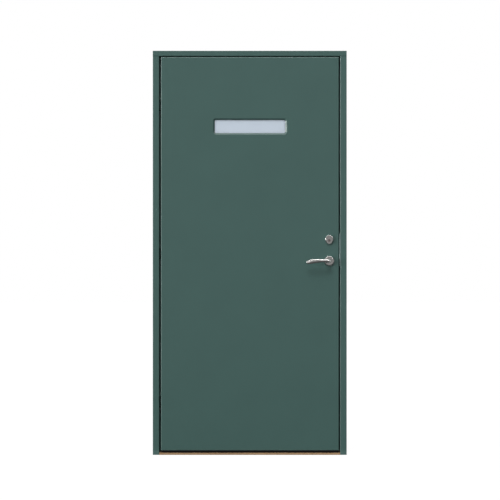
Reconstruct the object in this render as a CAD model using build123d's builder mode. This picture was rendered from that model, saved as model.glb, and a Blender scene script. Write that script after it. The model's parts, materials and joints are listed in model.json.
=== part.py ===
import os
from math import radians, tan

from build123d import *

# Entrance door set: painted leaf with a glazed slot, frame, oak threshold, lock and levers.
# Lengths in millimetres. X runs to the lock side, -Y to the outside, Z up from the sill.
os.makedirs("parts", exist_ok=True)

# Frame
frame_width = 998.0
frame_height = 2080.0
frame_depth = 105.0
jamb_face = 33.5
head_face = 28.0
stop_step = 15.0
frame_nose_radius = 4.0
frame_edge_radius = 2.0
seal_space = 4.0
seal_groove_width = 3.0
seal_groove_depth = 8.0

# Leaf
leaf_thickness = 62.0
hinge_gap = 8.7
lock_gap = 6.3
head_gap = 4.0
leaf_lift = 23.0
panel_thickness = 6.0
leaf_edge_radius = 4.0
hinge_stile_width = 45.0
lock_stile_width = 107.0
top_rail_height = 45.0
bottom_rail_height = 60.0

# Window slot
window_width = 380.0
window_height = 84.0
window_radius = 15.5
window_bevel = 8.5
window_drop = 357.8
glass_margin = 13.5
glass_thickness = 4.0
glass_space = 16.0
gasket_thickness = 2.0
gasket_inset = 2.0
spacer_width = 7.0
glazing_room = 2.0
liner_margin = 15.0
flange_margin = 34.0
flange_thickness = 6.0
flange_edge_radius = 2.5
flange_radius = 16.0
batten_width = 25.0
glazing_screw_margin = 24.0
glazing_screw_span_share = 0.36

# Threshold and seals
sill_nose_height = 10.5
sill_tread_height = 13.0
sill_upstand_height = 33.0
sill_back_height = 25.0
sill_nose_radius = 3.0
sill_drip_width = 4.0
sill_drip_depth = 4.0
sill_drip_inset = 14.0
bulb_width = 8.0
bulb_depth = 3.7
bulb_radius = 1.7
stem_width = 2.6
stem_depth = 7.0
seal_end_gap = 0.3
sill_seal_level = 28.0
sweep_top_width = 7.0
sweep_tip_width = 3.0
sweep_drop = 11.8
sweep_setback = 3.0
sweep_end_gap = 2.0
sweep_stem_width = 3.0
sweep_stem_height = 8.0
sweep_stem_inset = 1.0

# Concealed swan-neck hinges
hinge_end_distance = 247.5
hinge_axis_inset = 16.0
hinge_axis_depth = 14.0
hinge_pin_radius = 3.5
knuckle_radius = 6.2
knuckle_height = 64.0
washer_thickness = 2.0
washer_radius = 6.0
arm_thickness = 7.0
arm_reach = 27.0
arm_height = 60.0
arm_outer_radius = 6.0
arm_inner_radius = 2.5
arm_plate_thickness = 4.0
arm_plate_width = 34.0
arm_plate_height = 124.0
arm_plate_radius = 8.0
arm_plate_centre = 7.0
arm_screw_rise = 48.0
cup_front = 7.0
cup_back = 28.5
cup_left = 7.5
cup_wall = 1.5
cup_end_wall = 5.0
cup_corner_radius = 2.0
housing_plate_thickness = 2.5
housing_plate_width = 52.0
housing_plate_height = 128.0
housing_plate_radius = 8.0
housing_plate_lead = 3.0
housing_screw_rise = 52.0

# Lock, its heights taken from the lever and the cylinder
backset = 50.0
lever_level = 998.5
cylinder_rise = 105.0
forend_width = 22.0
forend_overhang = 33.5
forend_thickness = 3.0
forend_screw_inset = 10.5
case_thickness = 16.0
case_depth = 77.0
case_below = 33.0
case_above = 30.0
case_wall = 1.2
latch_thickness = 12.0
latch_height = 28.0
latch_rise = 21.0
latch_throw = 11.0
latch_length = 30.0
latch_tail_gap = 7.0
latch_tail_rise = 11.6
latch_tail_height = 3.8
latch_hook_gap = 1.0
latch_hook_width = 5.0
latch_back_angle = 38.0
bolt_height = 30.0
bolt_thickness = 12.0
bolt_drop = 23.0
bolt_length = 29.0
bolt_tail_length = 44.0
bolt_tail_thickness = 8.0
bolt_tail_height = 22.0
bolt_tail_drop = 11.5
bolt_notch_width = 14.0
bolt_notch_depth = 8.5
bolt_throw = 20.0
bolt_edge_radius = 1.0
hub_radius = 11.0
hub_finger_reach = 18.0
hub_finger_width = 6.0
hub_finger_thickness = 6.0
cam_radius = 11.0
cam_thickness = 10.0
cam_finger_reach = 17.0
cam_finger_width = 5.0
cam_start_angle = 225.0
cam_square = 5.0
bolt_play = 0.2

# Strike in the lock jamb
strike_below = 24.5
strike_above = 34.5
strike_thickness = 2.0
strike_back = 15.0
strike_lip_face = 4.0
strike_lip_nose = 2.0
strike_lip_run = 8.5
strike_lip_turn = 3.2
strike_bend_radius = 2.2
strike_hole_room = 1.0
strike_screw_margin = 12.0
strike_screw_setback = 2.0
strike_box_wall = 1.5
strike_box_half_width = 9.5
strike_box_depth = 21.0
strike_box_margin = 6.0

# Levers, roses and cylinder trim
spindle_width = 8.0
spindle_reach = 62.0
rose_radius = 25.2
rose_thickness = 9.0
rose_edge_radius = 4.5
neck_radius = 9.3
grip_offset = 50.0
grip_length = 118.0
grip_tip_radius = 1.5
elbow_radius = 14.0
rose_bolt_spread = 19.0
rose_bolt_radius = 2.0
rose_bolt_depth = 5.0
rose_bolt_head_radius = 3.5
rose_bolt_head_height = 2.5
ring_top_radius = 20.8
ring_tip_radius = 16.0
ring_tip_drop = 9.5
ring_lift = 6.9
ring_thickness = 11.0
ring_edge_radius = 3.5
cylinder_width = 29.0
cylinder_height = 34.0
cylinder_proud = 9.0
plug_radius = 7.5
plug_tail = 9.0
keyway_width = 3.0
keyway_height = 10.0
keyway_depth = 6.0
keyway_lean = 9.0
cylinder_screw_side = 8.5
cylinder_screw_rise = 10.5
cylinder_screw_radius = 2.2
cylinder_screw_bite = 12.0
turn_radius = 10.0
turn_base_height = 7.0
turn_shaft_radius = 4.0
turn_wing_length = 30.0
turn_wing_width = 8.0
turn_wing_height = 16.0
turn_wing_radius = 2.5

# Sections of the grip from the bend to the tip: places along it, the rest in neck radii
grip_place_shares = (0.0, 0.173, 0.365, 0.567, 0.769, 0.904, 1.0)
grip_top_shares = (1.0, 0.99, 0.99, 0.946, 0.71, 0.258, -0.344)
grip_bottom_shares = (-1.0, -0.817, -0.957, -1.312, -1.634, -1.656, -1.355)
grip_half_depth_shares = (1.0, 0.753, 0.645, 0.581, 0.516, 0.441, 0.301)
grip_return_shares = (0.0, 0.129, 0.172, 0.086, -0.172, -0.452, -0.71)

# Fixings
sleeve_end_distance = 130.0
sleeve_pitch = 450.0
sleeve_depth = 12.0
sleeve_radius = 8.0
sleeve_bore = 4.5
sleeve_length = 31.0
wood_screw_radius = 2.0
wood_screw_head = 4.0
wood_screw_length = 24.0
plate_screw_length = 20.0
glazing_screw_length = 22.0
frame_screw_radius = 2.5
frame_screw_head = 5.0
head_screw_length = 80.0
head_screw_inset = 15.0
head_screw_front = 19.0
head_screw_back = 22.0
sill_screw_length = 75.0
sill_screw_depth = 54.0
sill_screw_level = 14.0
forend_screw_length = 26.0

# Fits
overrun = 5.0
fit = 0.1
room = 0.5
running = 0.05
quarter_turn = 90.0
half_turn = 180.0

# Derived places
front = -leaf_thickness / 2
back = leaf_thickness / 2
frame_half = frame_width / 2
frame_back = front + frame_depth
stop_front = back + seal_space
stop_depth = frame_back - stop_front
rebate = frame_half - jamb_face
stop = rebate - stop_step
leaf_left = hinge_gap - rebate
leaf_right = rebate - lock_gap
leaf_width = leaf_right - leaf_left
leaf_x = (leaf_left + leaf_right) / 2
head_rebate = frame_height - head_face
head_stop_face = head_rebate - stop_step
leaf_top = head_rebate - head_gap
leaf_height = leaf_top - leaf_lift
leaf_centre = leaf_lift + leaf_height / 2
panel_back = front + panel_thickness
core_left = leaf_left + hinge_stile_width
core_right = leaf_right - lock_stile_width
core_bottom = leaf_lift + bottom_rail_height
core_top = leaf_top - top_rail_height
core_thickness = leaf_thickness - 2 * panel_thickness
seal_line = (leaf_right + stop) / 2
head_seal_line = (leaf_top + head_stop_face) / 2
hinge_x = -(rebate + hinge_axis_inset)
hinge_y = front + hinge_axis_depth
lower_hinge = leaf_lift + hinge_end_distance
upper_hinge = leaf_top - hinge_end_distance
hinge_levels = (lower_hinge, (lower_hinge + upper_hinge) / 2, upper_hinge)
lever_x = leaf_right - backset
cylinder_level = lever_level + cylinder_rise
latch_level = lever_level + latch_rise
bolt_level = cylinder_level - bolt_drop
bolt_tail_top = cylinder_level - bolt_tail_drop
case_bottom = lever_level - case_below
case_top = cylinder_level + case_above
case_front = leaf_right - forend_thickness
case_back = case_front - case_depth
case_height = case_top - case_bottom
case_middle = case_bottom + case_height / 2
forend_height = case_height + 2 * forend_overhang
forend_screw_rise = forend_height / 2 - forend_screw_inset
window_level = leaf_top - window_drop
glass_width = window_width - 2 * window_bevel
glass_height = window_height - 2 * window_bevel
glass_radius = window_radius - window_bevel
pane_width = glass_width + 2 * glass_margin
pane_height = glass_height + 2 * glass_margin
room_width = pane_width + 2 * glazing_room
room_height = pane_height + 2 * glazing_room
pane_front = panel_back + gasket_thickness
pane_back = pane_front + 2 * glass_thickness + glass_space
liner_front = pane_back + gasket_thickness
ring_tip_level = cylinder_level + ring_lift - ring_tip_drop
strike_bottom = lever_level - strike_below
strike_top = cylinder_level + strike_above
strike_middle = (strike_bottom + strike_top) / 2
strike_height = strike_top - strike_bottom
strike_box_bottom = latch_level - latch_height / 2 - strike_box_margin
strike_box_top = bolt_level + bolt_height / 2 + strike_box_margin
strike_box_middle = (strike_box_bottom + strike_box_top) / 2
strike_box_height = strike_box_top - strike_box_bottom
housing_plate_y = hinge_y + housing_plate_width / 2 - cup_front - housing_plate_lead
cup_y = hinge_y + (cup_back - cup_front) / 2
cup_inner_width = cup_front + cup_back
cup_inner_height = knuckle_height + 2 * washer_thickness
cup_depth = hinge_axis_inset + cup_left
cup_outer_width = cup_inner_width + 2 * cup_wall
cup_outer_height = cup_inner_height + 2 * cup_end_wall

# Faces that sketches are drawn on, each looking out of its piece
hinge_rebate_face = Plane(origin=(-rebate, 0, 0), x_dir=(0, 1, 0), z_dir=(1, 0, 0))
hinge_leaf_edge = Plane(origin=(leaf_left, 0, 0), x_dir=(0, -1, 0), z_dir=(-1, 0, 0))
lock_leaf_edge = Plane(origin=(leaf_right, 0, 0), x_dir=(0, 1, 0), z_dir=(1, 0, 0))
lock_rebate_face = Plane(origin=(rebate, 0, 0), x_dir=(0, -1, 0), z_dir=(-1, 0, 0))
outer_face = Plane(origin=(0, front, 0), x_dir=(1, 0, 0), z_dir=(0, -1, 0))
inner_face = Plane(origin=(0, back, 0), x_dir=(1, 0, 0), z_dir=(0, -1, 0))
leaf_middle = Plane(origin=(0, 0, 0), x_dir=(1, 0, 0), z_dir=(0, -1, 0))
side_section = Plane(origin=(0, 0, 0), x_dir=(0, 1, 0), z_dir=(1, 0, 0))
toward_right = (0, quarter_turn, 0)
toward_left = (0, -quarter_turn, 0)
toward_inside = (-quarter_turn, 0, 0)


def write(piece, name):
    piece.label = name
    export_step(piece, f"parts/{name}.step")


def screw(length, shank, head):
    # Countersunk screw pointing down, its head's top at the origin
    head_depth = head - shank
    with BuildPart() as body:
        with BuildSketch(Plane.XZ):
            with BuildLine():
                Polyline(
                    (0, 0),
                    (head, 0),
                    (shank, -head_depth),
                    (shank, -length),
                    (0, -length),
                    close=True,
                )
            make_face()
        revolve(axis=Axis.Z)
    return body.part


def nearest_corners(section, *places):
    # The corner of a section, in its own plane, that lies nearest to each place
    return [section.vertices().sort_by_distance(place)[0] for place in places]


def jamb_section(side):
    # Plan of a jamb, its nose rounded towards the leaf
    with BuildSketch() as plan:
        with Locations((side * (rebate + frame_half) / 2, (front + frame_back) / 2)):
            Rectangle(jamb_face, frame_depth)
        fillet(nearest_corners(plan, (side * rebate, front)), radius=frame_nose_radius)
        fillet(nearest_corners(plan, (side * frame_half, front)), radius=frame_edge_radius)
    return plan.sketch


def stop_section(groove_place):
    # Stop with its back on the Y axis, its seal face on the X axis and the seal's groove cut in
    with BuildSketch() as section:
        Rectangle(stop_step, stop_depth, align=(Align.MIN, Align.MIN))
        fillet(section.vertices().group_by(Axis.X)[-1], radius=frame_edge_radius)
        with Locations((groove_place, 0)):
            Rectangle(seal_groove_width, 2 * seal_groove_depth, mode=Mode.SUBTRACT)
    return section.sketch


def seal_section():
    # Bulb in front of the stop and stem in its groove, drawn with the stop face on the X axis
    with BuildSketch() as plan:
        with Locations((0, -bulb_depth / 2)):
            RectangleRounded(bulb_width, bulb_depth, bulb_radius)
        with Locations((0, stem_depth / 2 - bulb_radius)):
            Rectangle(stem_width, stem_depth)
    return plan.sketch


# Seats of the sleeves and screws, each with its own direction
lower_sleeves = (sleeve_end_distance, sleeve_end_distance + sleeve_pitch)
upper_sleeves = [frame_height - level for level in lower_sleeves]
sleeve_seats = {
    side: [
        Location((side * frame_half, sleeve_depth, level), toward_right)
        for level in (*lower_sleeves, *upper_sleeves)
    ]
    for side in (-1, 1)
}
housing_seats = {
    level: [
        Location((-rebate, housing_plate_y, level + rise), toward_right)
        for rise in (-housing_screw_rise, housing_screw_rise)
    ]
    for level in hinge_levels
}
arm_seats = {
    level: [
        Location((leaf_left, arm_plate_centre, level + rise), toward_left)
        for rise in (-arm_screw_rise, arm_screw_rise)
    ]
    for level in hinge_levels
}
all_housing_seats = [seat for seats in housing_seats.values() for seat in seats]
all_arm_seats = [seat for seats in arm_seats.values() for seat in seats]
strike_seats = [
    Location((rebate, strike_screw_setback, level), toward_left)
    for level in (strike_bottom + strike_screw_margin, strike_top - strike_screw_margin)
]
forend_seats = [
    Location((leaf_right, 0, case_middle + rise), toward_right)
    for rise in (-forend_screw_rise, forend_screw_rise)
]
head_seats = [
    Location((side * (frame_half - head_screw_inset), y, frame_height))
    for side in (-1, 1)
    for y in (front + head_screw_front, frame_back - head_screw_back)
]
sill_seats = {
    -1: Location((-frame_half, sill_screw_depth, sill_screw_level), toward_left),
    1: Location((frame_half, sill_screw_depth, sill_screw_level), toward_right),
}
glazing_screw_level = glass_height / 2 + glazing_screw_margin
glazing_seats = [
    Location((leaf_x + share * glass_width, back + flange_thickness, window_level + rise), toward_inside)
    for share in (-glazing_screw_span_share, glazing_screw_span_share)
    for rise in (-glazing_screw_level, glazing_screw_level)
]
rose_bolt_places = [(lever_x - rose_bolt_spread, lever_level), (lever_x + rose_bolt_spread, lever_level)]
cylinder_screw_places = [
    (lever_x - cylinder_screw_side, cylinder_level + cylinder_screw_rise),
    (lever_x + cylinder_screw_side, cylinder_level + cylinder_screw_rise),
]

# Hinge jamb with pockets for the hinge housings
with BuildPart() as hinge_jamb:
    extrude(jamb_section(-1), amount=head_rebate)
    with BuildSketch(hinge_rebate_face):
        with Locations(*[(housing_plate_y, level) for level in hinge_levels]):
            RectangleRounded(housing_plate_width + fit, housing_plate_height + fit, housing_plate_radius)
    extrude(amount=-housing_plate_thickness, mode=Mode.SUBTRACT)
    with BuildSketch(hinge_rebate_face):
        with Locations(*[(cup_y, level) for level in hinge_levels]):
            Rectangle(cup_outer_width + room, cup_outer_height + room)
    extrude(amount=-(cup_depth + cup_wall + room), mode=Mode.SUBTRACT)
    with Locations(*all_housing_seats):
        Hole(wood_screw_radius + fit, wood_screw_length + room)
    with Locations(*sleeve_seats[-1]):
        Hole(sleeve_radius + fit)
    with Locations(*head_seats):
        Hole(frame_screw_radius + fit, head_screw_length + room)
    with Locations(sill_seats[-1]):
        CounterSinkHole(
            frame_screw_radius + fit, frame_screw_head + fit, sill_screw_length + room, quarter_turn
        )
write(hinge_jamb.part, "hinge_jamb")

# Lock jamb with the strike let in round its front edge
with BuildPart() as lock_jamb:
    extrude(jamb_section(1), amount=head_rebate)
    with Locations((rebate, (front + strike_back) / 2, strike_middle)):
        Box(2 * strike_thickness, strike_back - front + fit, strike_height + fit, mode=Mode.SUBTRACT)
    with Locations((rebate + strike_lip_face / 2, front, strike_middle)):
        Box(strike_lip_face + fit, 2 * strike_thickness, strike_height + fit, mode=Mode.SUBTRACT)
    with BuildSketch(lock_rebate_face):
        with Locations((0, strike_box_middle)):
            Rectangle(2 * strike_box_half_width + fit, strike_box_height + fit)
    extrude(amount=-(strike_thickness + strike_box_depth + room), mode=Mode.SUBTRACT)
    with Locations(*strike_seats):
        Hole(wood_screw_radius + fit, plate_screw_length + room)
    with Locations(*sleeve_seats[1]):
        Hole(sleeve_radius + fit)
    with Locations(*head_seats):
        Hole(frame_screw_radius + fit, head_screw_length + room)
    with Locations(sill_seats[1]):
        CounterSinkHole(
            frame_screw_radius + fit, frame_screw_head + fit, sill_screw_length + room, quarter_turn
        )
write(lock_jamb.part, "lock_jamb")

# Head lying over both jambs
with BuildPart() as frame_head:
    with BuildSketch(side_section) as head_section:
        with Locations(((front + frame_back) / 2, (head_rebate + frame_height) / 2)):
            Rectangle(frame_depth, head_face)
        fillet(nearest_corners(head_section, (front, head_rebate)), radius=frame_nose_radius)
        fillet(nearest_corners(head_section, (front, frame_height)), radius=frame_edge_radius)
    extrude(amount=frame_half, both=True)
    with Locations(*head_seats):
        CounterSinkHole(frame_screw_radius + fit, frame_screw_head + fit, head_face + overrun, quarter_turn)
write(frame_head.part, "frame_head")

# Planted stops behind the leaf: one down each jamb, one under the head between those two
hinge_stop_plane = Plane(origin=(-rebate, stop_front, 0), x_dir=(1, 0, 0), z_dir=(0, 0, 1))
lock_stop_plane = Plane(origin=(rebate, stop_front, head_rebate), x_dir=(-1, 0, 0), z_dir=(0, 0, -1))
for side, plane, name in ((-1, hinge_stop_plane, "hinge_stop"), (1, lock_stop_plane, "lock_stop")):
    with BuildPart() as side_stop:
        extrude(plane * stop_section(rebate - seal_line), amount=head_rebate)
        with Locations(sill_seats[side]):
            Hole(frame_screw_radius + fit, sill_screw_length + room)
    write(side_stop.part, name)

head_stop_plane = Plane(origin=(0, stop_front, head_rebate), x_dir=(0, 0, -1), z_dir=(1, 0, 0))
with BuildPart() as head_stop:
    extrude(head_stop_plane * stop_section(head_rebate - head_seal_line), amount=stop, both=True)
write(head_stop.part, "head_stop")

# Oak threshold between the jambs, its upstand between their stops
with BuildPart() as threshold:
    with BuildSketch(side_section) as sill_section:
        with BuildLine():
            Polyline(
                (front, 0),
                (front, sill_nose_height),
                (stop_front, sill_tread_height),
                (stop_front, sill_upstand_height),
                (frame_back, sill_back_height),
                (frame_back, 0),
                close=True,
            )
        make_face()
        fillet(nearest_corners(sill_section, (front, sill_nose_height)), radius=sill_nose_radius)
        crests = ((stop_front, sill_upstand_height), (frame_back, sill_back_height))
        fillet(nearest_corners(sill_section, *crests), radius=frame_edge_radius)
        with Locations((front + sill_drip_inset, 0)):
            Rectangle(sill_drip_width, 2 * sill_drip_depth, mode=Mode.SUBTRACT)
        with Locations((stop_front, sill_seal_level)):
            Rectangle(2 * seal_groove_depth, seal_groove_width, mode=Mode.SUBTRACT)
    extrude(amount=rebate, both=True)
    with Locations(*[(side * rebate, (stop_front + frame_back) / 2, 0) for side in (-1, 1)]):
        Box(2 * stop_step, stop_depth, 2 * sill_upstand_height, mode=Mode.SUBTRACT)
    for side in (-1, 1):
        with Locations(sill_seats[side]):
            Hole(frame_screw_radius + fit, sill_screw_length + room)
write(threshold.part, "threshold")

# Seals in the stops
side_seal_bottom = sill_tread_height + seal_end_gap
side_seal_length = head_rebate - seal_end_gap - side_seal_bottom
for side, name in ((-1, "hinge_jamb_seal"), (1, "lock_jamb_seal")):
    with BuildPart() as side_seal:
        with Locations((side * seal_line, stop_front, side_seal_bottom)):
            add(extrude(seal_section(), amount=side_seal_length, mode=Mode.PRIVATE))
    write(side_seal.part, name)

for level, name in ((head_seal_line, "head_seal"), (sill_seal_level, "threshold_seal")):
    across = Plane(origin=(0, stop_front, level), x_dir=(0, 0, -1), z_dir=(1, 0, 0))
    with BuildPart() as cross_seal:
        extrude(across * seal_section(), amount=stop - seal_end_gap, both=True)
    write(cross_seal.part, name)

# Strike plate with its lip bent round the jamb's front edge
strike_x = rebate + strike_thickness / 2
strike_y = front + strike_thickness / 2
with BuildPart() as strike_plate:
    with BuildSketch(Plane.XY.offset(strike_bottom)):
        with BuildLine():
            FilletPolyline(
                (strike_x, strike_back),
                (strike_x, front + strike_lip_run),
                (rebate - strike_lip_nose, front + strike_lip_turn),
                (rebate - strike_lip_nose, strike_y),
                (rebate + strike_lip_face, strike_y),
                radius=strike_bend_radius / 2,
            )
        trace(line_width=strike_thickness)
    extrude(amount=strike_height)
    with BuildSketch(lock_rebate_face):
        with Locations((0, latch_level)):
            Rectangle(latch_thickness + 2 * strike_hole_room, latch_height + 2 * strike_hole_room)
        with Locations((0, bolt_level)):
            Rectangle(bolt_thickness + 2 * strike_hole_room, bolt_height + 2 * strike_hole_room)
    extrude(amount=-strike_thickness, mode=Mode.SUBTRACT)
    with Locations(*strike_seats):
        CounterSinkHole(wood_screw_radius + fit, wood_screw_head + fit, overrun, quarter_turn)
write(strike_plate.part, "strike_plate")

# Box behind the strike's two holes
strike_box_mouth = lock_rebate_face.offset(-strike_thickness)
with BuildPart() as strike_box:
    with BuildSketch(strike_box_mouth):
        with Locations((0, strike_box_middle)):
            Rectangle(2 * strike_box_half_width, strike_box_height)
    extrude(amount=-strike_box_depth)
    with BuildSketch(strike_box_mouth):
        with Locations((0, strike_box_middle)):
            Rectangle(
                2 * (strike_box_half_width - strike_box_wall),
                strike_box_height - 2 * strike_box_wall,
            )
    extrude(amount=-(strike_box_depth - strike_box_wall), mode=Mode.SUBTRACT)
write(strike_box.part, "strike_box")

# Screws of the strike and the hinge housings
strike_screw = screw(plate_screw_length, wood_screw_radius, wood_screw_head)
housing_screw = screw(wood_screw_length, wood_screw_radius, wood_screw_head)
with BuildPart() as frame_plate_screws:
    with Locations(*strike_seats):
        add(strike_screw)
    with Locations(*all_housing_seats):
        add(housing_screw)
write(frame_plate_screws.part, "frame_plate_screws")

# Hinge housings let into the hinge jamb
for level, name in zip(hinge_levels, ("lower", "middle", "upper")):
    with BuildPart() as housing:
        with BuildSketch(hinge_rebate_face):
            with Locations((housing_plate_y, level)):
                RectangleRounded(housing_plate_width, housing_plate_height, housing_plate_radius)
        extrude(amount=-housing_plate_thickness)
        with BuildSketch(hinge_rebate_face):
            with Locations((cup_y, level)):
                RectangleRounded(cup_outer_width, cup_outer_height, cup_corner_radius)
        extrude(amount=-(cup_depth + cup_wall))
        with BuildSketch(hinge_rebate_face):
            with Locations((cup_y, level)):
                Rectangle(cup_inner_width, cup_inner_height)
        extrude(amount=-cup_depth, mode=Mode.SUBTRACT)
        with Locations((hinge_x, hinge_y, level)):
            Cylinder(hinge_pin_radius + running, cup_outer_height + overrun, mode=Mode.SUBTRACT)
        with Locations(*housing_seats[level]):
            CounterSinkHole(wood_screw_radius + fit, wood_screw_head + fit, overrun, quarter_turn)
    write(housing.part, f"hinge_housing_{name}")

    # Swan-neck arm: knuckle on the pin, bent leg, plate let into the leaf's edge
    arm_half = arm_thickness / 2
    with BuildPart() as arm:
        with BuildSketch(Plane.XY.offset(level - arm_height / 2)) as arm_plan:
            with BuildLine():
                Polyline(
                    (hinge_x - arm_half, hinge_y),
                    (hinge_x - arm_half, hinge_y + arm_reach),
                    (leaf_left, hinge_y + arm_reach),
                    (leaf_left, hinge_y + arm_reach - arm_thickness),
                    (hinge_x + arm_half, hinge_y + arm_reach - arm_thickness),
                    (hinge_x + arm_half, hinge_y),
                    close=True,
                )
            make_face()
            outer_bend = (hinge_x - arm_half, hinge_y + arm_reach, level - arm_height / 2)
            fillet(arm_plan.vertices().sort_by_distance(outer_bend)[0], radius=arm_outer_radius)
            inner_bend = (hinge_x + arm_half, hinge_y + arm_reach - arm_thickness, level - arm_height / 2)
            fillet(arm_plan.vertices().sort_by_distance(inner_bend)[0], radius=arm_inner_radius)
        extrude(amount=arm_height)
        with Locations((hinge_x, hinge_y, level)):
            Cylinder(knuckle_radius, knuckle_height)
        with BuildSketch(hinge_leaf_edge):
            with Locations((-arm_plate_centre, level)):
                RectangleRounded(arm_plate_width, arm_plate_height, arm_plate_radius)
        extrude(amount=-arm_plate_thickness)
        with Locations((hinge_x, hinge_y, level)):
            Cylinder(hinge_pin_radius + running, knuckle_height + overrun, mode=Mode.SUBTRACT)
        with Locations(*arm_seats[level]):
            CounterSinkHole(wood_screw_radius + fit, wood_screw_head + fit, overrun, quarter_turn)
    write(arm.part, f"hinge_arm_{name}")

with BuildPart() as hinge_pins:
    with Locations(*[(hinge_x, hinge_y, level) for level in hinge_levels]):
        Cylinder(hinge_pin_radius, cup_outer_height)
write(hinge_pins.part, "hinge_pins")

washer_rise = (knuckle_height + washer_thickness) / 2
washer_places = [
    (hinge_x, hinge_y, level + turn * washer_rise) for level in hinge_levels for turn in (-1, 1)
]
with BuildPart() as hinge_washers:
    with Locations(*washer_places):
        Cylinder(washer_radius, washer_thickness)
    with Locations(*washer_places):
        Cylinder(hinge_pin_radius + running, washer_thickness + overrun, mode=Mode.SUBTRACT)
write(hinge_washers.part, "hinge_washers")

# Sleeves for the frame screws in both jambs, flush with the jambs' outer faces
sleeve_middle = frame_half - sleeve_length / 2
sleeve_places = [
    Location((side * sleeve_middle, sleeve_depth, level), toward_right)
    for side in (-1, 1)
    for level in (*lower_sleeves, *upper_sleeves)
]
with BuildPart() as frame_sleeves:
    with Locations(*sleeve_places):
        Cylinder(sleeve_radius, sleeve_length)
    with Locations(*sleeve_places):
        Cylinder(sleeve_bore, sleeve_length + overrun, mode=Mode.SUBTRACT)
write(frame_sleeves.part, "frame_sleeves")

# Screws that hold the head and the threshold to the jambs
head_screw = screw(head_screw_length, frame_screw_radius, frame_screw_head)
sill_screw = screw(sill_screw_length, frame_screw_radius, frame_screw_head)
with BuildPart() as frame_screws:
    with Locations(*head_seats):
        add(head_screw)
    with Locations(sill_seats[-1], sill_seats[1]):
        add(sill_screw)
write(frame_screws.part, "frame_screws")

# Outer panel with the bevelled window slot
hole_radius = neck_radius + room
bolt_hole_radius = rose_bolt_radius + fit
with BuildPart() as outer_panel:
    with BuildSketch(outer_face):
        with Locations((leaf_x, leaf_centre)):
            Rectangle(leaf_width, leaf_height)
    extrude(amount=-panel_thickness)
    fillet(outer_panel.faces().sort_by(Axis.Y)[0].edges(), radius=leaf_edge_radius)
    with BuildSketch(outer_face):
        with Locations((leaf_x, window_level)):
            RectangleRounded(window_width, window_height, window_radius)
    with BuildSketch(outer_face.offset(-panel_thickness)):
        with Locations((leaf_x, window_level)):
            RectangleRounded(glass_width, glass_height, glass_radius)
    loft(mode=Mode.SUBTRACT)
    with BuildSketch(outer_face):
        with Locations((lever_x, lever_level)):
            Circle(hole_radius)
        with Locations(*rose_bolt_places):
            Circle(bolt_hole_radius)
        with Locations((lever_x, cylinder_level)):
            SlotOverall(cylinder_height + fit, cylinder_width + fit, rotation=quarter_turn)
    extrude(amount=-panel_thickness, mode=Mode.SUBTRACT)
write(outer_panel.part, "outer_panel")

# Inner panel with the opening for the glazing frame's liner
with BuildPart() as inner_panel:
    with BuildSketch(inner_face):
        with Locations((leaf_x, leaf_centre)):
            Rectangle(leaf_width, leaf_height)
    extrude(amount=panel_thickness)
    fillet(inner_panel.faces().sort_by(Axis.Y)[-1].edges(), radius=frame_edge_radius)
    with BuildSketch(inner_face):
        with Locations((leaf_x, window_level)):
            RectangleRounded(room_width, room_height, glass_radius)
        with Locations((lever_x, lever_level)):
            Circle(hole_radius)
        with Locations(*rose_bolt_places):
            Circle(bolt_hole_radius)
        with Locations((lever_x, cylinder_level)):
            Circle(turn_shaft_radius + room)
        with Locations(*cylinder_screw_places):
            Circle(cylinder_screw_radius + fit)
    extrude(amount=panel_thickness, mode=Mode.SUBTRACT)
    with Locations(*glazing_seats):
        Hole(wood_screw_radius + fit, glazing_screw_length + room)
write(inner_panel.part, "inner_panel")


def bar(x_from, x_to, z_from, z_to):
    # Timber of the core's thickness between two upright and two level lines
    with BuildPart() as timber:
        with Locations(((x_from + x_to) / 2, 0, (z_from + z_to) / 2)):
            Box(x_to - x_from, core_thickness, z_to - z_from)
    return timber.part


# Lock stile with room for the case, forend, spindle, rose bolts, cylinder and their screws
with BuildPart() as lock_stile:
    add(bar(core_right, leaf_right, leaf_lift, leaf_top))
    with BuildSketch(lock_leaf_edge):
        with Locations((0, case_middle)):
            Rectangle(case_thickness + room, case_height + room)
    extrude(amount=-(forend_thickness + case_depth + room), mode=Mode.SUBTRACT)
    with BuildSketch(lock_leaf_edge):
        with Locations((0, case_middle)):
            SlotOverall(forend_height + fit, forend_width + fit, rotation=quarter_turn)
    extrude(amount=-forend_thickness, mode=Mode.SUBTRACT)
    with BuildSketch(leaf_middle):
        with Locations((lever_x, lever_level)):
            Circle(hole_radius)
        with Locations(*rose_bolt_places):
            Circle(bolt_hole_radius)
        with Locations(*cylinder_screw_places):
            Circle(cylinder_screw_radius + fit)
        with Locations((lever_x, cylinder_level)):
            Circle(turn_shaft_radius + room)
    extrude(amount=core_thickness, both=True, mode=Mode.SUBTRACT)
    with BuildSketch(leaf_middle):
        with Locations((lever_x, cylinder_level)):
            SlotOverall(cylinder_height + fit, cylinder_width + fit, rotation=quarter_turn)
    extrude(amount=core_thickness, mode=Mode.SUBTRACT)
    with Locations(*forend_seats):
        Hole(wood_screw_radius + fit, forend_screw_length + room)
write(lock_stile.part, "lock_stile")

# Hinge stile with the arms' plates let into its edge
with BuildPart() as hinge_stile:
    add(bar(leaf_left, core_left, leaf_lift, leaf_top))
    with BuildSketch(hinge_leaf_edge):
        with Locations(*[(-arm_plate_centre, level) for level in hinge_levels]):
            RectangleRounded(arm_plate_width + fit, arm_plate_height + fit, arm_plate_radius)
    extrude(amount=-arm_plate_thickness, mode=Mode.SUBTRACT)
    with Locations(*all_arm_seats):
        Hole(wood_screw_radius + fit, wood_screw_length + room)
write(hinge_stile.part, "hinge_stile")

# Rails between the stiles, the bottom one with a groove for the sweep's stem
with BuildPart() as top_rail:
    add(bar(core_left, core_right, core_top, leaf_top))
write(top_rail.part, "top_rail")

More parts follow.
